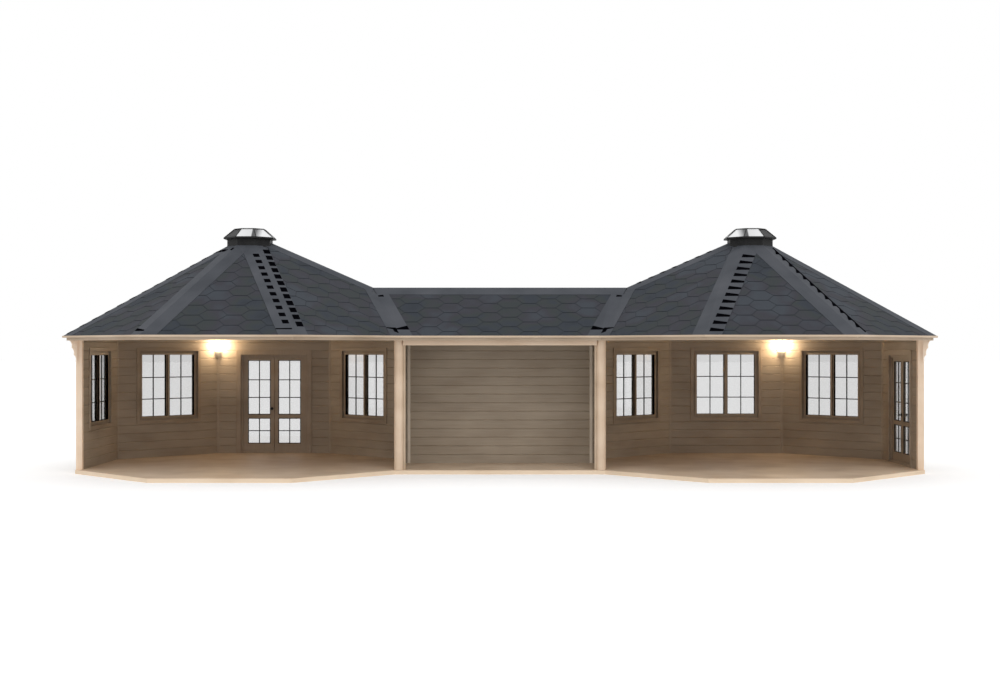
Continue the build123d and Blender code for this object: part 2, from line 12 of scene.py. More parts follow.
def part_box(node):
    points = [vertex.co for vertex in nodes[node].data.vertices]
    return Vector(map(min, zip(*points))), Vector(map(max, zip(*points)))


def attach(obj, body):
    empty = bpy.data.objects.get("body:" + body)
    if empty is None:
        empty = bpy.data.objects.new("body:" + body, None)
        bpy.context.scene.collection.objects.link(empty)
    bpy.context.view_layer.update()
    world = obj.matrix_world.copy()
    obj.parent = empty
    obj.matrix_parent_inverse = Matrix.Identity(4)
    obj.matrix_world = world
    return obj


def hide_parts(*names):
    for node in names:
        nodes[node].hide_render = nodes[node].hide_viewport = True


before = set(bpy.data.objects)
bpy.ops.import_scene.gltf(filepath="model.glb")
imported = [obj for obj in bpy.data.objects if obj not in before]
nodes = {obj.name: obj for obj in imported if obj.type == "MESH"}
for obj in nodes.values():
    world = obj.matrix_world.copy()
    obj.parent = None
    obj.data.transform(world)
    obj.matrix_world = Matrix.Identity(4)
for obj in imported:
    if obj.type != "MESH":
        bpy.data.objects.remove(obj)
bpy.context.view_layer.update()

mm = 0.001

# %% [markdown]
# Everything that is added has to sit on the solids, so the main distances are read from them:
# the middle of each pavilion, the faces of its walls, the floor, and the planes of the roof.

# %% Measure the solids
floor_low, floor_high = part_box("left_floor")
pavilion_x = -(floor_low.x + floor_high.x) / 2
floor_edge = (floor_high.y - floor_low.y) / 2
floor_top = floor_high.z
wall_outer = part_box("left_back_wall_over_door")[1].y
wall_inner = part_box("left_back_wall_over_door")[0].y
fascia_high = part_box("fascia_boards")[1]
fascia_thickness = 22 * mm
roof_pitch = 0.62
drip_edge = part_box("eave_strips")[1].y
strip_thickness = 16 * mm
curb_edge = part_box("skylight_curbs")[1].y
link_fascia_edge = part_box("link_roof")[1].y + fascia_thickness
link_drip_edge = link_fascia_edge + drip_edge - fascia_high.y
print("pavilion at", round(pavilion_x, 4), "walls", round(wall_inner, 4), round(wall_outer, 4))


def roof_height(distance):
    """Height of the deck's top at a distance from a pavilion's middle."""
    return fascia_high.z + roof_pitch * (fascia_high.y - fascia_thickness - distance)


# %% [markdown]
# The octagon's geometry returns all the time. One function stands a facet's frame at its place:
# X points out of the facet, Y runs along it and Z is up. Two more lay a flat drawing on the facet:
# upright like a panel, or sloping like the roof.

# %% Frames of the facets
turn = math.radians(45)
half_turn = turn / 2
half_tangent = math.tan(half_turn)
half_cosine = math.cos(half_turn)
half_sine = math.sin(half_turn)
left_x = -pavilion_x
right_x = pavilion_x
slope_stretch = math.hypot(1, roof_pitch)
slope_cosine = 1 / slope_stretch
slope_sine = roof_pitch / slope_stretch


def facet_frame(middle_x, degrees):
    """Frame of a facet that faces this way from a pavilion's middle."""
    return Matrix.Translation((middle_x, 0, 0)) @ Matrix.Rotation(math.radians(degrees), 4, "Z")


def panel_frame(middle_x, degrees, distance):
    """Upright frame on a facet: X along it, Y up, Z out of it."""
    flat = Matrix(((0, 0, 1, distance), (1, 0, 0, 0), (0, 1, 0, 0), (0, 0, 0, 1)))
    return facet_frame(middle_x, degrees) @ flat


def slope_frame(middle_x, degrees, edge):
    """Sloping frame on a roof: X along the eave, Y up the slope from the drip edge, Z out of it."""
    height = roof_height(drip_edge)
    flat = Matrix(
        (
            (0, -slope_cosine, slope_sine, edge),
            (1, 0, 0, 0),
            (0, slope_sine, slope_cosine, height),
            (0, 0, 0, 1),
        )
    )
    return facet_frame(middle_x, degrees) @ flat


# %% [markdown]
# Operators act on all that is selected, and the frame comes in selected, so every piece starts from
# an empty selection. A few helpers keep the modelling steps short: pick one object, select faces by
# a test, cut along a plane, copy a mesh to several places, and join what belongs together.

# %% Helpers for modelling
def clear_selection():
    bpy.ops.object.select_all(action="DESELECT")


def pick(piece):
    """Makes one object the only selected one."""
    clear_selection()
    piece.select_set(True)
    bpy.context.view_layer.objects.active = piece


def settle(piece):
    """Puts an object's place, turn and size into its mesh."""
    pick(piece)
    bpy.ops.object.transform_apply(location=True, rotation=True, scale=True)
    return piece


def close_edit():
    bpy.ops.object.mode_set(mode="OBJECT")


def open_edit(piece, test, kind="FACE"):
    """Opens edit mode with the faces, or the edges, selected that pass the test."""
    pick(piece)
    bpy.ops.object.mode_set(mode="EDIT")
    bpy.ops.mesh.select_mode(type=kind)
    bpy.ops.mesh.select_all(action="DESELECT")
    close_edit()
    for part in piece.data.polygons if kind == "FACE" else piece.data.edges:
        part.select = test(part)
    bpy.ops.object.mode_set(mode="EDIT")


def cut(piece, point, normal):
    """Cuts off what lies past a plane and closes the cut."""
    pick(piece)
    bpy.ops.object.mode_set(mode="EDIT")
    bpy.ops.mesh.select_all(action="SELECT")
    bpy.ops.mesh.bisect(plane_co=point, plane_no=normal, use_fill=True, clear_outer=True)
    close_edit()


def cut_in_plan(piece, cuts):
    """Cuts along several upright planes, as (point, normal) pairs in X and Y."""
    for point, normal in cuts:
        cut(piece, (*point, 0), (*normal, 0))


def array(piece, count, step):
    """Repeats a mesh along a step and applies the modifier."""
    pick(piece)
    rows = piece.modifiers.new("rows", "ARRAY")
    rows.count = count
    rows.use_relative_offset = False
    rows.use_constant_offset = True
    rows.constant_offset_displace = step
    bpy.ops.object.modifier_apply(modifier=rows.name)


def soften(piece, width):
    """Takes the sharpness off all edges with a small bevel."""
    pick(piece)
    edge = piece.modifiers.new("edge", "BEVEL")
    edge.width = width
    edge.segments = 2
    edge.limit_method = "ANGLE"
    bpy.ops.object.modifier_apply(modifier=edge.name)


def copies(piece, places):
    """One copy of the piece, with its own mesh, at each place."""
    made = []
    for place in places:
        copy = piece.copy()
        copy.data = piece.data.copy()
        copy.data.transform(place)
        bpy.context.scene.collection.objects.link(copy)
        made.append(copy)
    return made


def join(pieces):
    """Joins meshes into the first of them."""
    clear_selection()
    for piece in pieces:
        piece.select_set(True)
    bpy.context.view_layer.objects.active = pieces[0]
    bpy.ops.object.join()
    return pieces[0]


def drop(*pieces):
    """Removes the patterns that only copies were taken from."""
    for piece in pieces:
        bpy.data.objects.remove(piece)


def keep(piece, name, body, slot, *finishes):
    """Names a finished piece, gives it its finishes and lets it ride on a body."""
    piece.name = piece.data.name = name
    if finishes:
        piece.data.materials.clear()
        for finish in finishes:
            piece.data.materials.append(finish)
    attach(piece, body)
    print(name, "faces", len(piece.data.polygons))


def lay(pattern, places, name, slot, *finishes):
    """Copies a pattern to its places, keeps the copies as one piece of the cabin and drops the pattern."""
    laid = join(copies(pattern, places))
    keep(laid, name, "cabin", slot, *finishes)
    drop(pattern)
    return laid


def block(low, high):
    """A box between two corners, from a cube."""
    clear_selection()
    middle = [(a + b) / 2 for a, b in zip(low, high)]
    bpy.ops.mesh.primitive_cube_add(size=1, location=middle)
    made = bpy.context.object
    made.scale = [b - a for a, b in zip(low, high)]
    return settle(made)


# %% [markdown]
# Finishes. Each one starts from the real material and how its surface was made. Colours are written
# as sRGB hex and turned to linear by one function, and one function adds a shader node with its
# settings and links. Patterns read Object coordinates, so their scales are real sizes.

# %% Helpers for finishes
def colour(hex_value):
    """sRGB hex to a linear colour."""
    parts = [int(hex_value[start:start + 2], 16) / 255 for start in (0, 2, 4)]
    return [part / 12.92 if part <= 0.04045 else ((part + 0.055) / 1.055) ** 2.4 for part in parts] + [1]


def new_finish(name):
    """An empty finish and its main shader."""
    finish = bpy.data.materials.new(name)
    finish.use_nodes = True
    return finish, finish.node_tree.nodes["Principled BSDF"]


def wire(finish, node, inputs):
    """Sets a node's sockets, or links them where the value is another node's socket."""
    for name, value in inputs.items():
        if isinstance(value, bpy.types.NodeSocket):
            finish.node_tree.links.new(value, node.inputs[name])
        else:
            node.inputs[name].default_value = value


def add(finish, kind, output, inputs=None, stops=(), **settings):
    """Adds a shader node and returns one of its outputs; stops are a ramp's (position, hex) pairs."""
    made = finish.node_tree.nodes.new("ShaderNode" + kind)
    for name, value in settings.items():
        setattr(made, name, value)
    if stops:
        elements = made.color_ramp.elements
        for end in (0, -1):
            elements[end].position = stops[end][0]
            elements[end].color = colour(stops[end][1])
        for position, hex_value in stops[1:-1]:
            elements.new(position).color = colour(hex_value)
    wire(finish, made, inputs or {})
    return made.outputs[output]


# %% [markdown]
# Timber. Planed pine shows long streaks along the board and a soft change of tone from board to
# board. A noise that is stretched along the grain gives the streaks. Boards on an octagon run in
# many directions, but all of them lie level, so a pattern that is fine in height and coarse in plan
# follows every wall. Upright posts use the same pattern turned on end.

# %% Timber finishes
tone_run_mm = 909  # length of a patch of one tone along the boards
tone_height_mm = 385  # and its height over the boards
streak_share = 0.55  # how much the streaks count beside the patches
grain_relief = 0.25
grain_depth = 2 * mm


def timber(name, light, middle, dark, grain_mm=8, run_mm=500, upright=False, roughness=0.62):
    """Planed or sawn pine: a streak is grain_mm across and run_mm long."""
    finish, shader = new_finish(name)
    place = add(finish, "TexCoord", "Object")
    fine, coarse = 1 / (grain_mm * mm), 1 / (run_mm * mm)
    stretch = (fine, fine, coarse) if upright else (coarse, coarse, fine)
    grain_place = add(finish, "Mapping", "Vector", {"Vector": place, "Scale": stretch})
    streaks = add(finish, "TexNoise", "Fac", {"Vector": grain_place, "Scale": 1.0, "Detail": 5.0})
    level, rise = 1 / (tone_run_mm * mm), 1 / (tone_height_mm * mm)
    tone_place = add(finish, "Mapping", "Vector", {"Vector": place, "Scale": (level, level, rise)})
    tones = add(finish, "TexNoise", "Fac", {"Vector": tone_place, "Scale": 1.0, "Detail": 2.0})
    sums = {0: streaks, 1: streak_share, 2: tones}
    mixed = add(finish, "Math", "Value", sums, operation="MULTIPLY_ADD")
    stops = ((0.45, dark), (0.75, middle), (1.0, light))
    tint = add(finish, "ValToRGB", "Color", {"Fac": mixed}, stops)
    gloss = {"Value": streaks, "To Min": roughness + 0.1, "To Max": roughness - 0.08}
    shine = add(finish, "MapRange", "Result", gloss)
    relief = {"Height": streaks, "Strength": grain_relief, "Distance": grain_depth}
    bump = add(finish, "Bump", "Normal", relief)
    wire(finish, shader, {"Base Color": tint, "Roughness": shine, "Normal": bump})
    return finish


# Planed pine logs: warm brown with level streaks
log_pine = timber("planed_pine_logs", "B4A694", "AA9C8A", "9D8E7C", grain_mm=9, run_mm=420)
# Planed pine trim: paler boards that catch the light from the front
trim_pine = timber("planed_pine_trim", "EAD3BA", "E1C8AE", "D0B599")
# The same boards standing on end
post_pine = timber("planed_pine_posts", "EAD3BA", "E1C8AE", "D0B599", upright=True)
# Eave boards: the same pine, darker and greyer: painted shade under the overhang of the covering, and
# weathering at the roof's edge
eave_pine = timber("pine_eaves_weathered_and_painted_shade", "D6C1AA", "CAB49C", "B8A188")
# Floor planks: oiled pine
plank_pine = timber("oiled_pine_planks", "DDC8B0", "D3BDA4", "C1A98F", grain_mm=14, run_mm=600, roughness=0.5)
# Jambs that stand back beside the link's posts: the same pine, darker, as painted shade beside the posts
jamb_pine = timber("pine_jambs_painted_shade", "CDB8A0", "C1AB92", "AF987E", upright=True)
# End posts and brackets: the same pine made paler, as painted light, because they stand in the open at the
# cabin's outer corners
end_pine = timber("planed_pine_end_posts", "FFEBD5", "FCE4CB", "F0D5B9", upright=True)
# Front edges of the floors: the same pine made paler, as painted light on the edges that face the front
edge_pine = timber("planed_pine_floor_edges", "F4DFC6", "EED8BD", "E2C9AC")
# Battens in the link: the same pine, paler and greyer than the trim, as painted light, so that they stand out
# pale in the shade of the recess
batten_pine = timber("pine_battens_painted_light", "EDE2D2", "E4D8C7", "D6C8B5", upright=True)
# Stained joinery: the brown of the window frames and doors
joinery_pine = timber(
    "stained_pine_joinery", "B2A18D", "A69581", "94836F", grain_mm=7, run_mm=350, upright=True, roughness=0.5
)
# Dark glazing bars: stained almost black
bar_stain = timber(
    "dark_stained_bars", "2E2A26", "262320", "1C1A18", grain_mm=6, run_mm=300, upright=True
)
print("timber finishes", [finish.name for finish in bpy.data.materials if "pine" in finish.name])

# %% [markdown]
# Roof covering. Bitumen shingles carry mineral granules: a matt blue-grey with soft patches that lean
# to blue, green or purple, and a fine grit. The strips over the hips are plain felt of the same kind,
# paler and more even. Each tab gets its own tone from the island it belongs to.

# %% Roof finishes
grit_mm = 14  # real granules are about 1 mm; drawn coarser so that they show
grit_share = 0.12  # how much the grit counts beside the patches
grit_depth = 3 * mm


def granules(name, stops, patch_mm, tab_share):
    """Bitumen with mineral granules: patches of patch_mm, and a tone for each tab."""
    finish, shader = new_finish(name)
    place = add(finish, "TexCoord", "Object")
    patch_scale, grit_scale = 1 / (patch_mm * mm), 1 / (grit_mm * mm)
    patches = add(finish, "TexNoise", "Fac", {"Vector": place, "Scale": patch_scale, "Detail": 2.0})
    grit = add(finish, "TexNoise", "Fac", {"Vector": place, "Scale": grit_scale, "Detail": 3.0})
    tab_tone = add(finish, "NewGeometry", "Random Per Island")
    sums = {0: tab_tone, 1: tab_share, 2: patches}
    varied = add(finish, "Math", "Value", sums, operation="MULTIPLY_ADD")
    sums = {0: grit, 1: grit_share, 2: varied}
    speckled = add(finish, "Math", "Value", sums, operation="MULTIPLY_ADD")
    tint = add(finish, "ValToRGB", "Color", {"Fac": speckled}, stops)
    bump = add(finish, "Bump", "Normal", {"Height": grit, "Strength": 0.3, "Distance": grit_depth})
    shine = add(finish, "MapRange", "Result", {"Value": grit, "To Min": 0.9, "To Max": 0.78})
    wire(finish, shader, {"Base Color": tint, "Roughness": shine, "Normal": bump, "Specular IOR Level": 0.25})
    return finish


# Blue-grey granules on the tabs, with tones that lean to blue, green and purple
tab_stops = ((0.36, "2B3036"), (0.46, "31363E"), (0.55, "34393A"), (0.64, "37373E"), (0.75, "3B4047"))
tab_granules = granules("granule_bitumen_tabs", tab_stops, patch_mm=650, tab_share=0.08)
# Dark rim of a tab: painted shadow along the lower edges of its top, where each tab steps over the one below;
# on the tab's cut sides and on the eave strips it is the plain dark bitumen
rim_stops = ((0.4, "24282D"), (0.9, "2D3137"))
rim_and_painted_shadow = granules("cut_bitumen_and_painted_shadow", rim_stops, patch_mm=500, tab_share=0.2)
# Paler felt on the hips, ridges and valleys
strip_stops = ((0.4, "404349"), (0.6, "484B51"), (0.9, "515359"))
strip_felt = granules("granule_bitumen_strips", strip_stops, patch_mm=600, tab_share=0.15)
# Sawn roof boards with underfelt on top: wood is seen from the rooms, dark felt from above
felted_boards = timber(
    "sawn_pine_under_felt", "B59D82", "A38A6F", "8A725A", grain_mm=7, run_mm=300, roughness=0.75
)
felted_shader = felted_boards.node_tree.nodes["Principled BSDF"]
wood_tint = felted_shader.inputs["Base Color"].links[0].from_socket
facing = add(felted_boards, "NewGeometry", "True Normal")
upward = add(felted_boards, "SeparateXYZ", "Z", {"Vector": facing})
felt_span = {"Value": upward, "From Min": 0.1, "From Max": 0.2}
felt_share = add(felted_boards, "MapRange", "Result", felt_span)
felt_mix = {"Factor": felt_share, "A": wood_tint, "B": colour("404349")}
felt_tint = add(felted_boards, "Mix", "Result", felt_mix, data_type="RGBA")
wire(felted_boards, felted_shader, {"Base Color": felt_tint})
print("roof finishes", tab_granules.name, rim_and_painted_shadow.name, strip_felt.name, felted_boards.name)

# %% [markdown]
# Glass, metal and light. Window glass is clear float glass with a grey cast. The skylight's panes carry
# a painted reflection of the sky, and painted shade on the panes away from the light. The metal of the
# skylight is dark satin paint, and the knobs are black iron.

# %% Other finishes
sheet_wave_mm = 900
paint_cloud_mm = 120
pane_cloud_mm = 200
opal_cloud_mm = 60
surface_depth = 1 * mm


def glazing(name, tint, slant_tint, roughness):
    """Tinted float glass: at a slant the way through it is longer, so it looks darker."""
    finish, shader = new_finish(name)
    place = add(finish, "TexCoord", "Object")
    wave_scale = 1 / (sheet_wave_mm * mm)
    waves = add(finish, "TexNoise", "Fac", {"Vector": place, "Scale": wave_scale, "Detail": 1.0})
    relief = {"Height": waves, "Strength": 0.03, "Distance": surface_depth}
    bump = add(finish, "Bump", "Normal", relief)
    slant = add(finish, "LayerWeight", "Facing", {"Blend": 0.5})
    cast = add(finish, "ValToRGB", "Color", {"Fac": slant}, ((0.5, tint), (0.8, slant_tint)))
    links = {"Base Color": cast, "Roughness": roughness, "IOR": 1.5, "Specular IOR Level": 0.3}
    wire(finish, shader, {**links, "Transmission Weight": 1.0, "Normal": bump})
    return finish


def dark_finish(name, light, dark, roughness, metallic=0.0, sheen=0.5):
    """Painted or blackened metal with a slight unevenness; the same recipe also makes flat dark painted
    shade.
    """
    finish, shader = new_finish(name)
    place = add(finish, "TexCoord", "Object")
    cloud_scale = 1 / (paint_cloud_mm * mm)
    cloud = add(finish, "TexNoise", "Fac", {"Vector": place, "Scale": cloud_scale, "Detail": 3.0})
    tint = add(finish, "ValToRGB", "Color", {"Fac": cloud}, ((0.3, dark), (0.7, light)))
    gloss = {"Value": cloud, "To Min": roughness - 0.06, "To Max": roughness + 0.08}
    shine = add(finish, "MapRange", "Result", gloss)
    relief = {"Height": cloud, "Strength": 0.08, "Distance": surface_depth}
    bump = add(finish, "Bump", "Normal", relief)
    links = {"Base Color": tint, "Roughness": shine, "Normal": bump}
    wire(finish, shader, {**links, "Metallic": metallic, "Specular IOR Level": sheen})
    return finish


# Clear float glass with a grey cast
window_glass = glazing("grey_float_glass", "D0D0D0", "A0A0A0", roughness=0.02)
# Skylight panes: a painted reflection, bright sky and dark surroundings in broad bands across the cap
pane_reach = 450 * mm
reflection_painted_glass, sky_shader = new_finish("panes_with_painted_reflection")
sky_place = add(reflection_painted_glass, "TexCoord", "Object")
sky_across = add(reflection_painted_glass, "SeparateXYZ", "X", {"Vector": sky_place})
sky_reach = add(reflection_painted_glass, "Math", "Value", {0: sky_across}, operation="ABSOLUTE")
sky_span = {"Value": sky_reach, "From Min": pavilion_x - pane_reach, "From Max": pavilion_x + pane_reach}
sky_share = add(reflection_painted_glass, "MapRange", "Result", sky_span)
painted_sky_stops = ((0.22, "EDEEEF"), (0.33, "565758"), (0.39, "4A4B4C"), (0.41, "DADBDC"), (0.8, "EDEEEF"))
painted_sky_tint = add(reflection_painted_glass, "ValToRGB", "Color", {"Fac": sky_share}, painted_sky_stops)
pane_cloud = {"Vector": sky_place, "Scale": 1 / (pane_cloud_mm * mm)}
sky_cloud = add(reflection_painted_glass, "TexNoise", "Fac", pane_cloud)
sky_shine = add(reflection_painted_glass, "MapRange", "Result", {"Value": sky_cloud, "To Min": 0.12, "To Max": 0.2})
wire(reflection_painted_glass, sky_shader, {"Base Color": painted_sky_tint, "Roughness": sky_shine, "Metallic": 0.35})
# The outer panes face away from the bright side: a flat dark grey that is painted shade
shade_painted_glass = dark_finish("panes_with_painted_shade", "3C3C3D", "2C2C2D", roughness=0.3, sheen=0.05)
# Dark satin paint on the skylight's curb and bars
satin_paint = dark_finish("dark_satin_paint", "2A2A2A", "1C1C1D", roughness=0.5, sheen=0.15)
# Blackened iron knobs
black_iron = dark_finish("blackened_iron", "201F1E", "161514", roughness=0.4, metallic=0.6)
# Flat black: painted shade in the open ends of the hip strips and on the sides of the window recesses, and
# the real black of the gaskets round the glass
gaskets_and_painted_shade = dark_finish("black_gaskets_and_painted_shade", "08080C", "040406", roughness=0.9, sheen=0.0)
# Opal lamp glass that glows warm white
opal_glow, opal_shader = new_finish("lit_opal_glass")
opal_place = add(opal_glow, "TexCoord", "Object")
opal_spots = {"Vector": opal_place, "Scale": 1 / (opal_cloud_mm * mm)}
opal_cloud = add(opal_glow, "TexNoise", "Fac", opal_spots)
opal_stops = ((0.3, "FFF1DC"), (0.7, "FFF8EC"))
opal_tint = add(opal_glow, "ValToRGB", "Color", {"Fac": opal_cloud}, opal_stops)
opal_light = {"Emission Color": colour("FFF0D8"), "Emission Strength": 6.0}
wire(opal_glow, opal_shader, {"Base Color": opal_tint, "Roughness": 0.35, **opal_light})
print("finishes in all", len(bpy.data.materials))

# %% [markdown]
# The solids keep their shape and take these finishes by name: the first word of the table that is part of a
# solid's name decides, and what is left over is trim.

# %% Finish the solids
finish_words = (
    ("skylight_glass", reflection_painted_glass),
    ("glass", window_glass),
    ("skylight", satin_paint),
    ("knobs", black_iron),
    ("wall_lamps", opal_glow),
    ("caps", strip_felt),
    ("valley_strips", strip_felt),
    ("eave_strips", rim_and_painted_shadow),
    ("roof", felted_boards),
    ("floor", edge_pine),
    ("fascia_boards", eave_pine),
    ("frame", joinery_pine),
    ("leaf", joinery_pine),
    ("end_posts", end_pine),
    ("corner_brackets", end_pine),
    ("wall", log_pine),
    ("", trim_pine),
)
for name, solid in nodes.items():
    solid.data.materials.clear()
    solid.data.materials.append(next(finish for word, finish in finish_words if word in name))
print("finished", len(nodes), "solids")

# %% [markdown]
# Shingles. The roof is covered with hexagonal tabs in offset rows, each row lying on the one below.
# A single tab is modelled from a six-sided circle: extruded to its thickness, inset for a dark rim of
# painted shadow on its lower edges, and tilted so that its lower end lifts. Two tabs make the offset
# pair, and two Array modifiers repeat the pair over a field. The field is then cut along the borders of
# the strips, which gives the same clean edges as a roofer's knife.

# %% One hexagonal tab
tab_side = 222 * mm
row_step = 155 * mm
tab_thickness = 6 * mm
tab_lift = 5 * mm
rim_width = 9 * mm
tab_seam = 0.5 * mm
clear_selection()
on_point = (0, 0, math.radians(90))
bpy.ops.mesh.primitive_circle_add(vertices=6, radius=tab_side, fill_type="NGON", rotation=on_point)
tab = settle(bpy.context.object)
tab_height = 2 * row_step
tab.scale = (1 - tab_seam / tab_side, (tab_height - tab_seam) / (math.sqrt(3) * tab_side), 1)
settle(tab)
open_edit(tab, lambda face: True)
bpy.ops.mesh.extrude_region_move(TRANSFORM_OT_translate={"value": (0, 0, tab_thickness)})
bpy.ops.mesh.inset(thickness=rim_width)
bpy.ops.mesh.select_all(action="SELECT")
bpy.ops.mesh.normals_make_consistent(inside=False)
close_edit()
tab.data.materials.append(tab_granules)
tab.data.materials.append(rim_and_painted_shadow)
# The lower band of each top takes the painted shadow, the cut sides the dark bitumen
for face in tab.data.polygons:
    on_top = face.center.z > tab_thickness - mm
    lower = face.center.y < -row_step / 4
    face.material_index = 1 if lower or not on_top else 0
tab.rotation_euler.x = -math.atan(tab_lift / tab_height)
tab.location.z = tab_lift / 2
settle(tab)
print("tab faces", len(tab.data.polygons))

# %% [markdown]
# One field serves all slopes. It is made larger than any of them, so that each slope can be cut from a copy
# and the rows of tabs stay level all round the roof.

# %% A field of tabs
tab_pitch = 3 * tab_side
columns = 12
row_pairs = 12
second = copies(tab, [Matrix.Translation((tab_pitch / 2, row_step, 0))])
pair = join([tab] + second)
array(pair, columns, (tab_pitch, 0, 0))
array(pair, row_pairs, (0, tab_height, 0))
field_start = Matrix.Translation((-tab_pitch * (columns / 2 - 1 / 4), -row_step, 0))
pair.data.transform(field_start)
print("field tabs", 2 * columns * row_pairs)

# %% [markdown]
# The borders of a field follow the strips. A hip strip leaves a slanting border on both sides of a
# plain slope. Beside the link a slope ends at the sloping ridge above and at the valley below.

# %% Cut the fields to the slopes
fit_gap = 1 * mm
hip_half_width = 235 * mm
ridge_half_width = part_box("ridge_caps")[1].y
valley_half_width = 190 * mm
hip_border = (hip_half_width + fit_gap) / half_cosine
valley_border = (valley_half_width + fit_gap) / half_cosine
ridge_turn_x = math.sqrt(2) * (fascia_high.y - link_fascia_edge)
turn_distance = ridge_turn_x / math.sqrt(2)
lean = half_tangent / slope_stretch
top_end = (drip_edge - curb_edge - fit_gap) * slope_stretch


def field(cuts):
    """A copy of the field, cut along (point, normal) pairs in the slope's plane."""
    made = copies(pair, [Matrix.Identity(4)])[0]
    cut_in_plan(made, cuts)
    return made


eave_cut = ((0, 0), (0, -1))
curb_cut = ((0, top_end), (0, 1))
hip_foot = drip_edge * half_tangent - hip_border


def hip_cut(way):
    return ((way * hip_foot, 0), (way, lean))


def link_side_cuts(way):
    """Borders of a slope beside the link: way is the side of the ridge and the valley."""
    ridge_foot = drip_edge - (ridge_half_width + fit_gap) * math.sqrt(2)
    valley_foot = turn_distance - half_tangent * (drip_edge - turn_distance) - valley_border
    ridge_cut = ((way * ridge_foot, 0), (way, 1 / slope_stretch))
    valley_cut = ((way * valley_foot, 0), (way, -lean))
    return eave_cut, curb_cut, hip_cut(-way), ridge_cut, valley_cut


link_foot = pavilion_x - ridge_turn_x - half_tangent * link_drip_edge - valley_border
link_top = (link_drip_edge - ridge_half_width - fit_gap) * slope_stretch
link_cuts = [eave_cut, ((0, link_top), (0, 1))]
link_cuts += [((way * link_foot, 0), (way, -lean)) for way in (1, -1)]

plain_field = field((eave_cut, curb_cut, hip_cut(1), hip_cut(-1)))
ridge_fields = {way: field(link_side_cuts(way)) for way in (1, -1)}
link_field = field(link_cuts)
print("plain slope faces", len(plain_field.data.polygons))

# %% [markdown]
# Each slope gets its field in its own sloping frame. The slopes beside the link are mirror images of each
# other, so they take the two fields that were cut for either hand.

# %% Lay the fields on the roof
plain_facets = {left_x: (90, 135, 180, 225, 270), right_x: (90, 45, 0, 315, 270)}
link_facets = {left_x: ((315, 1), (45, -1)), right_x: ((225, -1), (135, 1))}
for middle_x, name in ((left_x, "left_shingles"), (right_x, "right_shingles")):
    plain_slopes = [slope_frame(middle_x, facet, drip_edge) for facet in plain_facets[middle_x]]
    laid = copies(plain_field, plain_slopes)
    for facet, way in link_facets[middle_x]:
        laid += copies(ridge_fields[way], [slope_frame(middle_x, facet, drip_edge)])
    keep(join(laid), name, "cabin", "shingle")
lay(link_field, [slope_frame(0, facet, link_drip_edge) for facet in (90, 270)], "link_shingles", "shingle")
drop(pair, plain_field, *ridge_fields.values())

# %% [markdown]
# Edging. A narrow board closes the edge of the covering along every eave. It is a long box in the frame
# of its facet, cut along the hip or the valley at each end.

# %% Edging along the eaves
edging_thickness = 10 * mm
edging_bevel = 2 * mm
edging_drop = 12 * mm
edging_rise = 20 * mm
edging_low = roof_height(drip_edge) - edging_drop
edging_high = roof_height(drip_edge) + edging_rise
link_end = pavilion_x - ridge_turn_x - half_tangent * link_drip_edge


def edging(distance, half_length, cuts):
    """A board along an eave at this distance, cut along (point, normal) pairs in plan."""
    inner = distance + fit_gap
    made = block((inner, -half_length, edging_low), (inner + edging_thickness, half_length, edging_high))
    cut_in_plan(made, cuts)
    soften(made, edging_bevel)
    return made


def hip_end(way):
    return ((0, 0), (-half_sine, way * half_cosine))


def valley_end(way):
    return ((turn_distance, way * turn_distance), (half_sine, way * half_cosine))


plain_edging = edging(drip_edge, drip_edge, (hip_end(1), hip_end(-1)))
link_ends = [((link_drip_edge, way * link_end), (half_sine, way * half_cosine)) for way in (1, -1)]
link_edging = edging(link_drip_edge, pavilion_x, link_ends)
laid = copies(link_edging, [facet_frame(0, facet) for facet in (90, 270)])
for middle_x, facets in plain_facets.items():
    laid += copies(plain_edging, [facet_frame(middle_x, facet) for facet in facets])
    for facet, way in link_facets[middle_x]:
        board = edging(drip_edge, drip_edge, (valley_end(way), hip_end(-way)))
        board.data.transform(facet_frame(middle_x, facet))
        laid.append(board)
keep(join(laid), "eave_edging", "cabin", "pine_trim", eave_pine)
drop(plain_edging, link_edging)

# %% [markdown]
# Hip strips are laid as short lengths, and on the front hips the lower ends of these lengths stand
# open, which shows as rows of black slits that run level, along the eave. One slit is modelled flat, as a
# black plate of painted shade on the strip, repeated along the hip by an Array modifier, and laid on the
# wing of the strip that it belongs to. The feet of the valleys and of two hips have single slits.

# %% Open ends of the strips
slit_step = 201.6 * mm
slit_depth = 3 * mm
strip_lift = strip_thickness * slope_stretch


def wing_frame(middle_x, degrees, way, fold=half_turn, valley_start=None):
    """Frame on one wing of a strip: X down along the strip, Y out along the eave, Z up."""
    angle = math.radians(degrees)
    across = angle + way * math.pi / 2
    rise = 1 if valley_start else -1
    start_x = middle_x + (valley_start or 0)
    height = roof_height(abs(valley_start or 0) / math.sqrt(2)) + strip_lift
    run = Vector((math.cos(angle), math.sin(angle), -roof_pitch * math.cos(fold)))
    wing = Vector((math.cos(across), math.sin(across), rise * roof_pitch * math.sin(fold)))
    level = wing + rise * math.tan(fold) * run
    upright = Vector((0, 0, 1))
    turned = Matrix((run, level, upright)).transposed().to_4x4()
    return Matrix.Translation((start_x, 0, height)) @ turned


def slits(wing, start, near, far, near_length, far_length, count, climb):
    """A row of slits between two distances from the strip's middle line, in mm; start is the lower end."""
    made = block((-near_length * mm, near * mm, -slit_depth), (0, far * mm, slit_depth))
    open_edit(made, lambda face: face.normal.y > 0.5)
    bpy.ops.transform.resize(value=(far_length / near_length, 1, 1), center_override=(0, far * mm, 0))
    bpy.ops.transform.translate(value=(-climb * mm, 0, 0))
    close_edit()
    array(made, count, (slit_step, 0, 0))
    made.data.transform(wing @ Matrix.Translation((start * mm, 0, 0)))
    return made


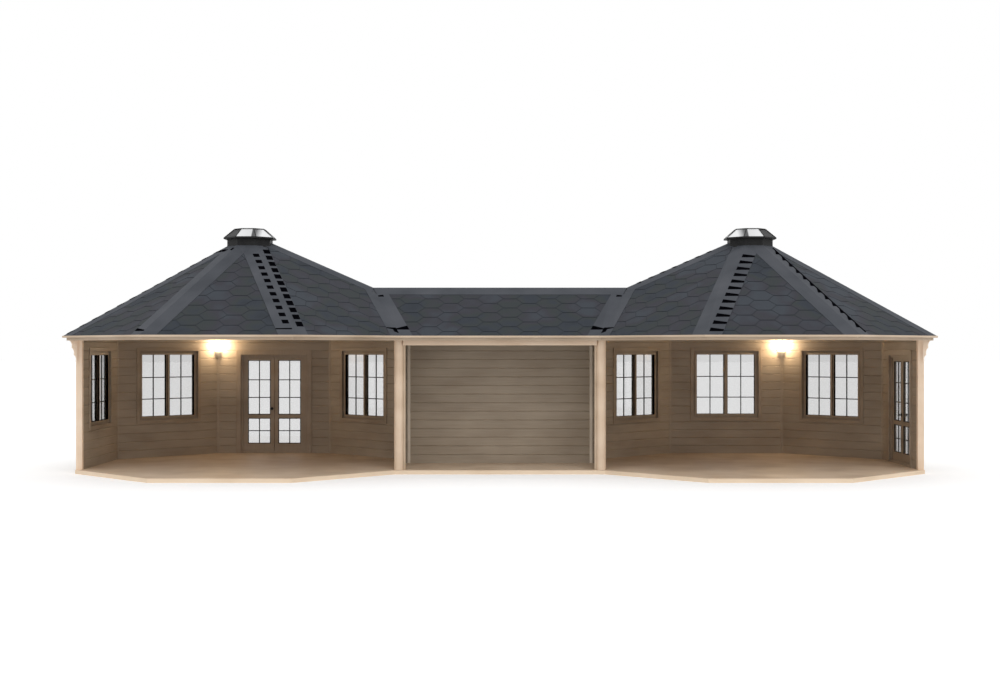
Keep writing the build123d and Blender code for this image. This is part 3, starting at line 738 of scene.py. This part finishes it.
left_inner_hip = wing_frame(left_x, 292.5, 1)
left_middle_hip = wing_frame(left_x, 292.5, -1)
left_outer_hip = wing_frame(left_x, 247.5, -1)
left_edge_hip = wing_frame(left_x, 202.5, 1)
right_inner_hip = wing_frame(right_x, 247.5, 1)
right_outer_hip = wing_frame(right_x, 292.5, 1)
right_ridge = wing_frame(right_x, 180, 1, fold=turn)

# %% [markdown]
# Each row below names the wing, then in millimetres the lower end of its first slit, the distances of the
# slit's two ends from the middle line and the slit's length at either end, then how many slits follow each
# other, and how far the outer end climbs. They were measured hip by hip.

# %% Rows of slits
slit_rows = [
    (left_middle_hip, 786, 8, 100, 94, 94, 11, 0),
    (left_inner_hip, 664, 108, 226, 124, 124, 12, 0),
    (right_inner_hip, 800, 36, 234, 94, 46, 12, 0),
    (right_outer_hip, 690, 112, 200, 12, 130, 12, 0),
    (right_outer_hip, 3040, 196, 230, 2560, 2560, 1, 0),
    (left_edge_hip, 640, 2, 34, 60, 110, 13, 0),
    (left_edge_hip, 600, 6, 130, 30, 90, 1, 0),
    (left_edge_hip, 590, 150, 230, 60, 60, 1, 0),
    (left_outer_hip, 560, 4, 60, 70, 70, 1, 0),
    (left_outer_hip, 3010, 1, 234, 26, 70, 1, 0),
    (left_middle_hip, 2962, 1, 234, 26, 20, 1, 0),
    (right_ridge, 760, 2, 40, 70, 60, 7, 0),
]
for middle_x, side, degrees in ((left_x, 1, 292.5), (right_x, -1, 247.5)):
    valley_start = side * ridge_turn_x
    link_wing = wing_frame(middle_x, degrees, side, valley_start=valley_start)
    room_wing = wing_frame(middle_x, degrees, -side, valley_start=valley_start)
    slit_rows += [
        (link_wing, 1300, 1, 188, 30, 108, 1, 0),
        (room_wing, 1310, 1, 188, 60, 14, 1, 52),
        (room_wing, 1405, 1, 74, 125, 60, 1, 50),
        (link_wing, 290, 4, 90, 30, 50, 1, 0),
    ]
# The slits are black plates: painted shade of the open ends
keep(join([slits(*row) for row in slit_rows]), "strip_ends_painted_shade", "cabin", "shingle", gaskets_and_painted_shade)

# %% [markdown]
# Skylight caps. A cap is a low glazed pyramid on eight sides that is as wide at its foot as the rim over
# the curb. It starts from an eight-sided cone without its top. The glass is a copy of that cone; the
# bars come from the cone's faces, which are inset one by one, opened and given a thickness. A rim and
# a collar close the cap on the curb. The caps stand for the plainer solids.

# %% Skylight caps
curb_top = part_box("skylight_curbs")[1].z
cap_lift = 50 * mm
cap_foot = curb_top + cap_lift
cap_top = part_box("skylight_frames")[1].z
foot_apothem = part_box("skylight_frames")[1].y
top_apothem = 254 * mm
bar_face = 7 * mm
bar_thickness = 8 * mm
rim_height = 24 * mm
shade_share = 0.4  # panes that lean outwards by more than this share are in shade


def eight_sided(low_apothem, high_apothem, low, high):
    """Eight-sided cone without its top, with a flat side to the front."""
    clear_selection()
    bpy.ops.mesh.primitive_cone_add(
        vertices=8,
        radius1=low_apothem / half_cosine,
        radius2=high_apothem / half_cosine,
        depth=high - low,
        location=(0, 0, (low + high) / 2),
        rotation=(0, 0, half_turn),
    )
    return settle(bpy.context.object)


pane_foot, pane_top = foot_apothem - bar_thickness, top_apothem - bar_thickness
panes = eight_sided(pane_foot, pane_top, cap_foot, cap_top - bar_thickness)
bars = eight_sided(foot_apothem, top_apothem, cap_foot, cap_top)
open_edit(bars, lambda face: face.normal.z > -0.5)
bpy.ops.mesh.inset(thickness=bar_face, use_individual=True)
bpy.ops.mesh.delete(type="FACE")
close_edit()
open_edit(bars, lambda face: face.normal.z < -0.9)
bpy.ops.mesh.delete(type="FACE")
close_edit()
pick(bars)
shell = bars.modifiers.new("shell", "SOLIDIFY")
shell.thickness = bar_thickness
bpy.ops.object.modifier_apply(modifier=shell.name)
rim = eight_sided(foot_apothem, foot_apothem, cap_foot - rim_height, cap_foot)
soften(rim, bar_face / 3)
collar = eight_sided(curb_edge, curb_edge, curb_top, cap_foot - rim_height)
cap = join([bars, rim, collar])
pavilions = [Matrix.Translation((middle_x, 0, 0)) for middle_x in (left_x, right_x)]
skylight_caps = lay(cap, pavilions, "skylight_caps", "dark_metal", satin_paint)
skylight_panes = lay(panes, pavilions, "skylight_panes", "glass", reflection_painted_glass, shade_painted_glass)
# Panes that lean away from the light get the painted shade, the rest the painted reflection
for face in skylight_panes.data.polygons:
    face.material_index = 1 if face.normal.x * face.center.x > shade_share * pavilion_x else 0
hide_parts("skylight_frames")
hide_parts("skylight_glass")

# %% [markdown]
# Windows. Each leaf is divided into two columns and three rows by thin dark bars. A bar is a box with
# its edges bevelled, and the three bars of a leaf are joined before the leaf is copied to every
# window. The rows get shorter towards the bottom, as on the real windows.

# %% Bars of a window
bar_width = 17 * mm
bar_depth = 24 * mm
bar_bevel = 3 * mm
row_shares = (0.28, 0.63)  # heights of the level bars, as shares of the glass from its lower edge


def glazing_bars(left, right, low, high, shares):
    """Bars of one sheet of glass, flat in X and Y."""
    middle = (left + right) / 2
    half_bar = bar_width / 2
    half_depth = bar_depth / 2
    bars = [block((middle - half_bar, low, -half_depth), (middle + half_bar, high, half_depth))]
    for share in shares:
        height = low + share * (high - low)
        bars.append(block((left, height - half_bar, -half_depth), (right, height + half_bar, half_depth)))
    made = join(bars)
    soften(made, bar_bevel)
    return made


window_low, window_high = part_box("window_glass")[0].z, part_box("window_glass")[1].z
pane_inner = 37 * mm
pane_outer = 555 * mm
window_glass_depth = 23 * mm
window_glass_distance = wall_outer - window_glass_depth
leaf_bars = [
    glazing_bars(side[0], side[1], window_low, window_high, row_shares)
    for side in ((pane_inner, pane_outer), (-pane_outer, -pane_inner))
]
inner_shift = 79 * mm  # the windows beside the link stand off the middle of their walls
windows = [(left_x, 180, 0), (left_x, 135, 0), (left_x, 45, inner_shift)]
windows += [(right_x, 45, 0), (right_x, 90, 0), (right_x, 135, -inner_shift)]


def window_frame(window, distance):
    """Upright frame in the middle of a window."""
    middle_x, facet, shift = window
    return panel_frame(middle_x, facet, distance) @ Matrix.Translation((shift, 0, 0))


glass_places = [window_frame(window, window_glass_distance) for window in windows]
lay(join(leaf_bars), glass_places, "window_bars", "dark_joinery", bar_stain)

# %% [markdown]
# Rings of boards return on windows and doors, as casings, gaskets and linings. A ring starts as one flat
# rectangle: inset it by the width of the board, delete the middle and extrude what is left to the
# thickness of the board.

# %% A ring of boards
casing_thickness = 18 * mm
casing_bevel = 4 * mm


def casing(half_width, low, high, board, thickness=casing_thickness):
    """Ring of boards, flat in X and Y, with its back at zero."""
    clear_selection()
    middle = (low + high) / 2
    bpy.ops.mesh.primitive_plane_add(size=1, location=(0, middle, 0))
    made = bpy.context.object
    made.scale = (2 * half_width, high - low, 1)
    settle(made)
    open_edit(made, lambda face: True)
    bpy.ops.mesh.inset(thickness=board)
    bpy.ops.mesh.delete(type="FACE")
    bpy.ops.mesh.select_all(action="SELECT")
    bpy.ops.mesh.extrude_region_move(TRANSFORM_OT_translate={"value": (0, 0, thickness)})
    bpy.ops.mesh.select_all(action="SELECT")
    bpy.ops.mesh.normals_make_consistent(inside=False)
    close_edit()
    return made


# %% [markdown]
# Doors. A leaf has two columns and three rows above its middle rail, and two by two below it. A dark
# gasket runs round each sheet of glass. All this rides on the leaf, so each leaf gets its own piece.

# %% Bars of the doors
door_upper_shares = (0.31, 0.64)
door_lower_shares = (0.5,)
door_glass_depth = 22 * mm
door_glass_distance = wall_outer - door_glass_depth


def sheets_of(node):
    """The lower and the upper sheet of a leaf's glass, as (low, high) heights."""
    heights = sorted({round(corner.co.z, 4) for corner in nodes[node].data.vertices})
    return (heights[0], heights[1]), (heights[2], heights[3])


door_leaves = (
    ("left_outer_leaf", "left_door_outer_glass", left_x, 90, 1),
    ("left_inner_leaf", "left_door_inner_glass", left_x, 90, -1),
    ("right_rear_leaf", "right_door_rear_glass", right_x, 0, 1),
    ("right_front_leaf", "right_door_front_glass", right_x, 0, -1),
)
sheet_inner = 84 * mm
sheet_outer = 498 * mm
leaf_inner = 22 * mm  # from the glass to the inner face of the leaf
gasket_lap = 9 * mm
gasket_face = 13 * mm
gasket_proud = 2 * mm
gasket_reach = 20 * mm
leaf_gap = 8 * mm
seal_gap = 0.8 * mm
seal_depth = 5 * mm
seal_back = 6 * mm  # the seals sit near the outer faces, where a leaf swings clear
for body, glass, middle_x, facet, way in door_leaves:
    left, right = sorted((way * sheet_inner, way * sheet_outer))
    lower, upper = sheets_of(glass)
    grids = []
    for (low, high), shares in ((upper, door_upper_shares), (lower, door_lower_shares)):
        half_width = (right - left) / 2 + gasket_lap
        ring = casing(half_width, low - gasket_lap, high + gasket_lap, gasket_face, gasket_reach)
        ring.data.transform(Matrix.Translation(((left + right) / 2, 0, -leaf_inner - gasket_proud)))
        grids += [glazing_bars(left, right, low, high, shares), ring]
    grid = join(grids)
    grid.data.transform(panel_frame(middle_x, facet, door_glass_distance))
    keep(grid, body + "_bars", body, "dark_joinery", bar_stain)
    leaf_low, leaf_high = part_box(glass.replace("glass", "leaf"))
    edge = sorted((way * seal_gap / 2, way * leaf_gap / 2))
    seal = block((edge[0], leaf_low.z, -seal_depth), (edge[1], leaf_high.z, 0))
    soften(seal, seal_gap / 3)
    seal.data.transform(panel_frame(middle_x, facet, wall_outer - seal_back))
    keep(seal, body + "_seal", body, "dark_joinery", joinery_pine)

# %% [markdown]
# Casings cover the joint between a frame and the logs, inside and outside. They are bevelled rings, laid on
# the inner and the outer faces of the walls.

# %% Casings of the windows
face_about = Matrix.Rotation(math.pi, 4, "Y")  # turns a casing to look into the room
frame_low, frame_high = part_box("window_frames")[0].z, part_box("window_frames")[1].z
hole_half = 645 * mm
inner_lap = 38 * mm
inner_board = 62 * mm
outer_board = 70 * mm
outer_lap = outer_board + fit_gap
inside = casing(hole_half + inner_lap, frame_low - inner_lap, frame_high + inner_lap, inner_board)
outside = casing(hole_half + outer_lap, frame_low - outer_lap, frame_high + outer_lap, outer_board)
for ring in (inside, outside):
    soften(ring, casing_bevel)
inner_places = [window_frame(window, wall_inner) @ face_about for window in windows]
outer_places = [window_frame(window, wall_outer) for window in windows]
lay(inside, inner_places, "window_casings_inside", "pine_trim", joinery_pine)
lay(outside, outer_places, "window_casings_outside", "pine_trim", post_pine)

# %% [markdown]
# Seen at a slant, a window shows black lines beside its panes: the gaskets that hold the glass and the
# shaded sides of the recess in front of it. Thin rings line both faces of the glass. A wider ring and a
# middle post line the recess, with black painted shade only on the faces that look towards the glass.

# %% Dark gaskets and linings of the windows
gasket_board = 3 * mm
gasket_depth = 22 * mm
lining_board = 40 * mm
lining_depth = 22 * mm
frame_inner = 29 * mm  # from the glass to the inner face of the frame
gasket_out = 6 * mm  # from the glass to the back of the outer gasket
post_gap = 18 * mm  # from the middle post to the panes
pane_half = (pane_outer - pane_inner) / 2
pane_middle = (pane_outer + pane_inner) / 2
gasket = casing(pane_half, window_low, window_high, gasket_board, gasket_depth)
outer_gasket = Matrix.Translation((0, 0, gasket_out))
inner_gasket = Matrix.Translation((0, 0, -frame_inner))
sides = [Matrix.Translation((way * pane_middle, 0, 0)) for way in (1, -1)]
gaskets = join(copies(gasket, [side @ depth for side in sides for depth in (outer_gasket, inner_gasket)]))
lay(gaskets, glass_places, "window_gaskets", "dark_joinery", gaskets_and_painted_shade)
lining_half = pane_outer + lining_board
lining_low, lining_high = window_low - lining_board, window_high + lining_board
lining = casing(lining_half, lining_low, lining_high, lining_board, lining_depth)
post_half = pane_inner - post_gap
post = block((-post_half, window_low, 0), (post_half, window_high, lining_depth))
window_middle = Vector((0, (window_low + window_high) / 2, 0))
for piece, post_sides in ((lining, False), (post, True)):
    piece.data.materials.append(joinery_pine)
    piece.data.materials.append(gaskets_and_painted_shade)
    # Faces of the recess that look towards the glass get the black painted shade
    for face in piece.data.polygons:
        towards_glass = post_sides or face.normal.dot(window_middle - face.center) > 0
        face.material_index = 1 if abs(face.normal.z) < 0.5 and towards_glass else 0
lining = join([lining, post])
lining.data.transform(Matrix.Translation((0, 0, -frame_inner - lining_depth)))
lay(lining, glass_places, "window_linings", "dark_joinery")
drop(gasket)

# %% [markdown]
# The doors have wider casings, cut off level with the floor. A sill between them closes the gap that lets
# the leaves swing over the floor.

# %% Casings and sills of the doors
door_frame_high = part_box("left_door_frame")[1].z
door_half = 650 * mm
door_lap = 77 * mm
door_board = 92 * mm
doors = ((left_x, 90), (right_x, 0))
below = floor_top - door_lap - door_board
inside = casing(door_half + door_lap, below, door_frame_high + door_lap, door_board)
outside = casing(door_half + outer_lap, below, door_frame_high + outer_lap, outer_board)
for ring in (inside, outside):
    cut(ring, (0, floor_top, 0), (0, -1, 0))
    soften(ring, casing_bevel)
inner_places = [panel_frame(*door, wall_inner) @ face_about for door in doors]
outer_places = [panel_frame(*door, wall_outer) for door in doors]
lay(inside, inner_places, "door_casings_inside", "pine_trim", joinery_pine)
lay(outside, outer_places, "door_casings_outside", "pine_trim", post_pine)
sill_lap = 14 * mm
sill_depth = 26 * mm
sill_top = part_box("left_door_outer_leaf")[0].z + sill_lap
sill = block((-door_half, floor_top, 0), (door_half, sill_top, sill_depth))
soften(sill, casing_bevel)
lay(sill, [panel_frame(*door, wall_inner) for door in doors], "door_sills", "pine_trim", joinery_pine)

# %% [markdown]
# Corner strips cover the mitres of the logs inside the rooms. Each is a bevelled board across the corner,
# from the floor up to the roof boards, modelled once and turned to its corner.

# %% Corner strips of the rooms
corner_width = 44 * mm
corner_proud = 3 * mm
corner_sunk = 4 * mm
corner_bevel = 1 * mm
corner_headroom = 90 * mm
corner_face = wall_inner / half_cosine - corner_width / 2 * half_tangent
corner_low = (corner_face - corner_proud, -corner_width / 2, floor_top)
corner_high = (corner_face + corner_sunk, corner_width / 2, roof_height(wall_inner) - corner_headroom)
corner_strip = block(corner_low, corner_high)
soften(corner_strip, corner_bevel)
corners = [(left_x, angle) for angle in (22.5, 67.5, 112.5, 157.5)]
corners += [(right_x, angle) for angle in (157.5, 112.5, 67.5, 22.5)]
lay(corner_strip, [facet_frame(*corner) for corner in corners], "room_corner_strips", "pine_trim", log_pine)

# %% [markdown]
# Floor planks. Boards run along the cabin on top of the floor. One board is modelled, bevelled along
# its edges and repeated by an Array modifier. The field is then cut to the room: to the inner faces of
# the walls behind, and to the floor's edge along the open front.

# %% Planks
plank_width = 118 * mm
plank_gap = 3 * mm
plank_thickness = 5 * mm
plank_bevel = 2 * mm
edge_lap = 10 * mm


def planks(half_length, start, end, cuts):
    """Boards along X between two places in Y, cut along (point, normal) pairs in plan."""
    step = plank_width + plank_gap
    high = (half_length, start + plank_width, floor_top + plank_thickness)
    made = block((-half_length, start, floor_top), high)
    soften(made, plank_bevel)
    array(made, math.ceil((end - start) / step), (0, step, 0))
    cut_in_plan(made, cuts)
    return made


room_cuts = []
for facet in range(0, 360, 45):
    way = (math.cos(math.radians(facet)), math.sin(math.radians(facet)))
    distance = floor_edge - edge_lap if facet in (225, 270, 315) else wall_inner - fit_gap
    room_cuts.append(((way[0] * distance, way[1] * distance), way))
room_planks = planks(floor_edge, -floor_edge, floor_edge, room_cuts)
porch_half = pavilion_x - wall_outer
porch_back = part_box("link_back_wall")[0].y
porch_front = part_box("link_floor")[0].y + edge_lap
porch_cuts = [((0, porch_back - fit_gap), (0, 1)), ((0, porch_front), (0, -1))]
porch_planks = planks(porch_half - fit_gap, porch_front - plank_width / 2, porch_back, porch_cuts)
laid = copies(room_planks, pavilions)
keep(join(laid + [porch_planks]), "floor_planks", "cabin", "floor_boards", plank_pine)
drop(room_planks)

# %% [markdown]
# Trim of the link. A pale batten stands near each corner of the recess, on its back wall. It is a
# bevelled board that stands on the floor.

# %% Corner battens of the link
batten_face = 51 * mm
batten_thickness = 20 * mm
batten_gap = 25 * mm  # from the corner to the batten
porch_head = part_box("link_head_beams")[0].z
foot = floor_top + plank_thickness
battens = []
for way in (1, -1):
    outer = porch_half - batten_gap
    left, right = sorted((way * outer, way * (outer - batten_face)))
    battens.append(block((left, porch_back - batten_thickness, foot), (right, porch_back, porch_head)))
trim = join(battens)
soften(trim, casing_bevel)
keep(trim, "link_corner_battens", "cabin", "pine_trim", batten_pine)

# %% [markdown]
# Posts of the link. The front of a post is almost half round. It starts as a block whose two upright front
# edges are bevelled in many steps. Up to the eave beam it is wider, so that the beam rests on it. A
# narrow jamb stands back beside it, towards the link. These stand for the plainer solids.

# %% Round posts and jambs of the link
post_low, post_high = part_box("link_posts")
beam_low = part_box("eave_beams")[0].z
post_depth = post_high.y - post_low.y
post_reach = 47 * mm  # from the room's wall to the inner side of the post
post_inner = porch_half - post_reach
post_width = 115 * mm
wide_post = 152 * mm
round_share = 0.48
round_steps = 10
jamb_width = 38 * mm
jamb_depth = 50 * mm
jamb_setback = 48 * mm


def round_post(width, low, high):
    """Post with a round front, whose inner side stays in place."""
    made = block((post_inner, post_low.y, low), (post_inner + width, post_low.y + post_depth, high))

    def upright_front(edge):
        first, last = [made.data.vertices[index].co for index in edge.vertices]
        return abs(first.z - last.z) > mm and first.y < post_low.y + mm

    open_edit(made, upright_front, "EDGE")
    bpy.ops.mesh.bevel(offset=round_share * width, segments=round_steps)
    close_edit()
    return made


post = join([round_post(wide_post, foot, beam_low), round_post(post_width, beam_low, post_high.z)])
jamb_front = post_low.y + jamb_setback
jamb = block((post_inner - jamb_width, jamb_front, foot), (post_inner, jamb_front + jamb_depth, porch_head))
soften(jamb, casing_bevel)
mirrors = [Matrix.Identity(4), Matrix.Scale(-1, 4, (1, 0, 0))]
link_pieces = (
    (post, "link_round_posts", post_pine, "link_posts"),
    (jamb, "link_set_back_jambs", jamb_pine, "link_jambs"),
)
for pattern, name, finish, node in link_pieces:
    pair = copies(pattern, mirrors)
    pair[1].data.flip_normals()
    stood = join(pair)
    keep(stood, name, "cabin", "pine_trim", finish)
    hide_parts(node)
drop(post, jamb)

# %% [markdown]
# The camera stands level in front of the link, at the distance that gives the picture its perspective.
# The lens is worked out from the picture's width and its focal length in pixels.

# %% Camera
picture_width = 1000
focal_pixels = 1413
sensor_width = 36
eye = (0, -24.532, 2.07)
bpy.ops.object.camera_add(location=eye, rotation=(math.radians(90), 0, 0))
camera = bpy.context.object
camera.data.sensor_fit = "HORIZONTAL"
camera.data.sensor_width = sensor_width
camera.data.lens = focal_pixels * sensor_width / picture_width
bpy.context.scene.camera = camera
print("lens", round(camera.data.lens, 3))

# %% [markdown]
# Studio. A pale floor carries the shadow, and the world is white where the camera, a reflection or a
# pane of glass looks at it. Even light from all round leaves the rooms darker than the fronts, because
# the roofs and walls keep it out, and one soft lamp high in front gives the forms a little shade.

# %% Floor and background
ground_size = 400
ground_lift = 0.22  # glow that makes the floor white to the camera and through glass
bpy.ops.mesh.primitive_plane_add(size=ground_size, location=(0, 0, 0))
ground = bpy.context.object
ground.name = "studio_floor"
ground_finish, ground_shader = new_finish("white_studio_floor")
ground_seen = 0.0
for ray in ("Is Camera Ray", "Is Transmission Ray"):
    met = add(ground_finish, "LightPath", ray)
    ground_seen = add(ground_finish, "Math", "Value", {0: met, 1: ground_seen}, operation="MAXIMUM")
glow = add(ground_finish, "Math", "Value", {0: ground_seen, 1: ground_lift}, operation="MULTIPLY")
ground_matt = {"Base Color": colour("F4F4F4"), "Roughness": 1.0, "Specular IOR Level": 0.0}
wire(ground_finish, ground_shader, {**ground_matt, "Emission Color": (1, 1, 1, 1), "Emission Strength": glow})
ground.data.materials.append(ground_finish)

world = bpy.data.worlds.new("white_studio")
bpy.context.scene.world = world
world.use_nodes = True
backdrop = world.node_tree.nodes["Background"]
ambient = 0.88
seen = 0.0
for ray in ("Is Camera Ray", "Is Glossy Ray", "Is Transmission Ray"):
    met = add(world, "LightPath", ray)
    seen = add(world, "Math", "Value", {0: met, 1: seen}, operation="MAXIMUM")
strength = add(world, "MapRange", "Result", {"Value": seen, "To Min": ambient, "To Max": 1.0})
wire(world, backdrop, {"Color": (1, 1, 1, 1), "Strength": strength})
print("floor and background, ambient light", ambient)

# %% [markdown]
# The key lamp is a broad, weak sun. Two more lamps shine in rear corners of the rooms. Their opal glass
# glows, and a small warm light in front of each one falls on the logs.

# %% Lamps
key_place = (5, -18, 22)
key_power = 0.55
key_spread = 40
glow_power = 22
glow_radius = 50 * mm
glow_gap = 150 * mm  # from the corner of the walls to the small lamp
bpy.ops.object.light_add(type="SUN", location=key_place)
key_lamp = bpy.context.object
key_lamp.name = "key_lamp"
key_lamp.data.energy = key_power
key_lamp.data.angle = math.radians(key_spread)
key_lamp.rotation_euler = (-key_lamp.location).to_track_quat("-Z", "Y").to_euler()
lamp_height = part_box("wall_lamps")[1].z
corner_angle = math.radians(90) + half_turn
corner_reach = wall_inner / half_cosine - glow_gap
for way in (-1, 1):
    lamp_x = way * (pavilion_x - corner_reach * math.cos(corner_angle))
    lamp_y = corner_reach * math.sin(corner_angle)
    bpy.ops.object.light_add(type="POINT", location=(lamp_x, lamp_y, lamp_height))
    lamp = bpy.context.object
    lamp.data.energy = glow_power
    lamp.data.color = colour("FFE3BC")[:3]
    lamp.data.shadow_soft_size = glow_radius
print("lamps", len(bpy.data.lights))

# %% [markdown]
# Last, the view is set to plain colours.

# %% Finish
bpy.context.scene.view_settings.view_transform = "Standard"
